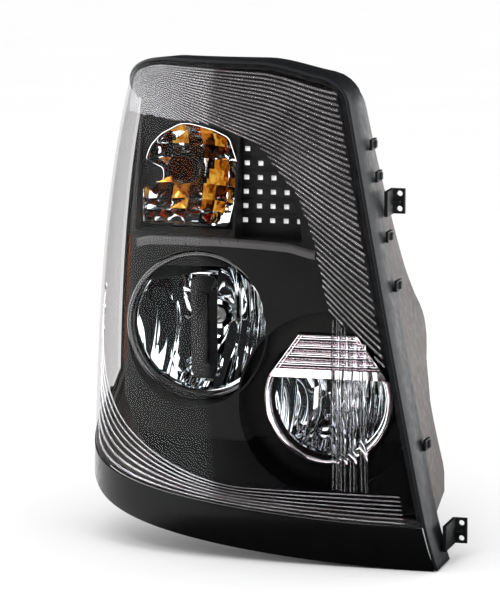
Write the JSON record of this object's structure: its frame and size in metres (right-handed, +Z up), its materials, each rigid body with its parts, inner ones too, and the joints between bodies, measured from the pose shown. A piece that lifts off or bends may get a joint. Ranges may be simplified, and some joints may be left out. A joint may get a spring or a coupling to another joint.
{
  "type": "vehicle headlight assembly",
  "caption": "Tall wrap-round truck headlight with fluted clear lens, amber turn signal, low and high beams that tilt, twist-off bulb covers and a black trim frame.",
  "frame": {"origin": "middle of the rear face of the upper inboard mounting bracket, between its two screw holes", "axes": "+Z up the height of the lamp, +Y to the rear away from the beams, +X inboard towards the grille"},
  "size_m": [0.445, 0.2812, 0.5368],
  "materials": {
    "lens": "clear hard-coated polycarbonate, moulded flutes",
    "black_gloss": "satin black moulded plastic",
    "black_matte": "fine-grained black moulded plastic",
    "bezel_grey": "matte dark grey moulded plastic",
    "housing_taupe": "taupe grey moulded plastic, textured",
    "reflector": "vacuum-metallised moulded reflector",
    "chrome_trim": "bright chromed trim",
    "amber": "amber glass and amber moulded reflex",
    "bulb_glass": "clear bulb glass",
    "rubber": "soft black rubber",
    "steel": "zinc-plated steel",
    "nylon": "natural nylon",
    "black_socket": "heat-resistant black plastic"
  },
  "bodies": {
    "lamp_body": {"lens": "lens", "front_frame": "black_gloss", "low_beam_ring": "black_gloss", "lower_skirt": "black_matte", "upper_mount_bracket": "black_matte", "lower_mount_bracket": "black_matte", "frame_clip_1": "black_matte", "frame_clip_2": "black_matte", "frame_clip_3": "black_matte", "frame_clip_4": "black_matte", "frame_clip_5": "black_matte", "bezel": "bezel_grey", "marker_grid": "bezel_grey", "rear_housing": "housing_taupe", "turn_signal_reflector": "reflector", "marker_mirror": "reflector", "high_beam_ring": "chrome_trim", "high_beam_visor": "chrome_trim", "side_reflex": "amber", "lens_seal": "rubber", "breather_cap_1": "rubber", "breather_cap_2": "rubber", "low_beam_pivot_pin_outboard": "steel", "low_beam_pivot_pin_inboard": "steel", "high_beam_pivot_pin_outboard": "steel", "high_beam_pivot_pin_inboard": "steel", "connector_blade_1": "steel", "connector_blade_2": "steel", "connector_blade_3": "steel", "wiring_connector": "black_socket"},
    "low_beam_unit": {"low_beam_reflector": "reflector", "low_beam_adjuster_nut": "nylon", "low_beam_shield": "black_gloss"},
    "high_beam_unit": {"high_beam_reflector": "reflector", "high_beam_adjuster_nut": "nylon"},
    "low_beam_bulb_unit": {"low_beam_bulb": "bulb_glass", "low_beam_bulb_base": "black_socket"},
    "high_beam_bulb_unit": {"high_beam_bulb": "bulb_glass", "high_beam_bulb_base": "black_socket"},
    "low_beam_screw": {"low_beam_adjuster_screw": "nylon"},
    "high_beam_screw": {"high_beam_adjuster_screw": "nylon"},
    "low_beam_cover": {"low_beam_cap": "black_socket", "low_beam_cap_seal": "rubber"},
    "high_beam_cover": {"high_beam_cap": "black_socket", "high_beam_cap_seal": "rubber"},
    "turn_signal_unit": {"turn_signal_socket": "black_socket", "turn_signal_bulb": "amber", "turn_signal_seal": "rubber"},
    "side_marker_unit": {"side_marker_socket": "black_socket", "side_marker_bulb": "bulb_glass", "side_marker_seal": "rubber"}
  },
  "joints": [
    {"name": "low_beam_aim", "type": "hinge", "parent": "lamp_body", "child": "low_beam_unit", "pos_m": [-0.208, -0.016, -0.136], "axis": [1, 0, 0], "range_deg": [-3, 3]},
    {"name": "high_beam_aim", "type": "hinge", "parent": "lamp_body", "child": "high_beam_unit", "pos_m": [-0.053, -0.061, -0.2075], "axis": [1, 0, 0], "range_deg": [-3, 3]},
    {"name": "low_beam_adjust", "type": "hinge", "parent": "lamp_body", "child": "low_beam_screw", "pos_m": [-0.208, 0.09, -0.206], "axis": [0, 1, 0], "range_deg": [-360, 360]},
    {"name": "high_beam_adjust", "type": "hinge", "parent": "lamp_body", "child": "high_beam_screw", "pos_m": [-0.053, 0.09, -0.2715], "axis": [0, 1, 0], "range_deg": [-360, 360]},
    {"name": "low_beam_bulb_twist", "type": "hinge", "parent": "low_beam_unit", "child": "low_beam_bulb_unit", "pos_m": [-0.208, 0.02, -0.136], "axis": [0, 1, 0], "range_deg": [0, 45]},
    {"name": "high_beam_bulb_twist", "type": "hinge", "parent": "high_beam_unit", "child": "high_beam_bulb_unit", "pos_m": [-0.053, -0.028, -0.2075], "axis": [0, 1, 0], "range_deg": [0, 45]},
    {"name": "low_beam_cap_twist", "type": "hinge", "parent": "lamp_body", "child": "low_beam_cover", "pos_m": [-0.208, 0.09, -0.136], "axis": [0, 1, 0], "range_deg": [0, 30]},
    {"name": "high_beam_cap_twist", "type": "hinge", "parent": "lamp_body", "child": "high_beam_cover", "pos_m": [-0.053, 0.09, -0.2075], "axis": [0, 1, 0], "range_deg": [0, 30]},
    {"name": "turn_signal_socket_twist", "type": "hinge", "parent": "lamp_body", "child": "turn_signal_unit", "pos_m": [-0.247, 0.089, 0.029], "axis": [0, 1, 0], "range_deg": [0, 45]},
    {"name": "side_marker_socket_twist", "type": "hinge", "parent": "lamp_body", "child": "side_marker_unit", "pos_m": [-0.317, 0.102, -0.1], "axis": [0, 1, 0], "range_deg": [0, 45]}
  ],
  "couplings": [
    {"joint": "low_beam_adjust", "follows": "low_beam_aim", "ratio": 120},
    {"joint": "high_beam_adjust", "follows": "high_beam_aim", "ratio": 120}
  ]
}
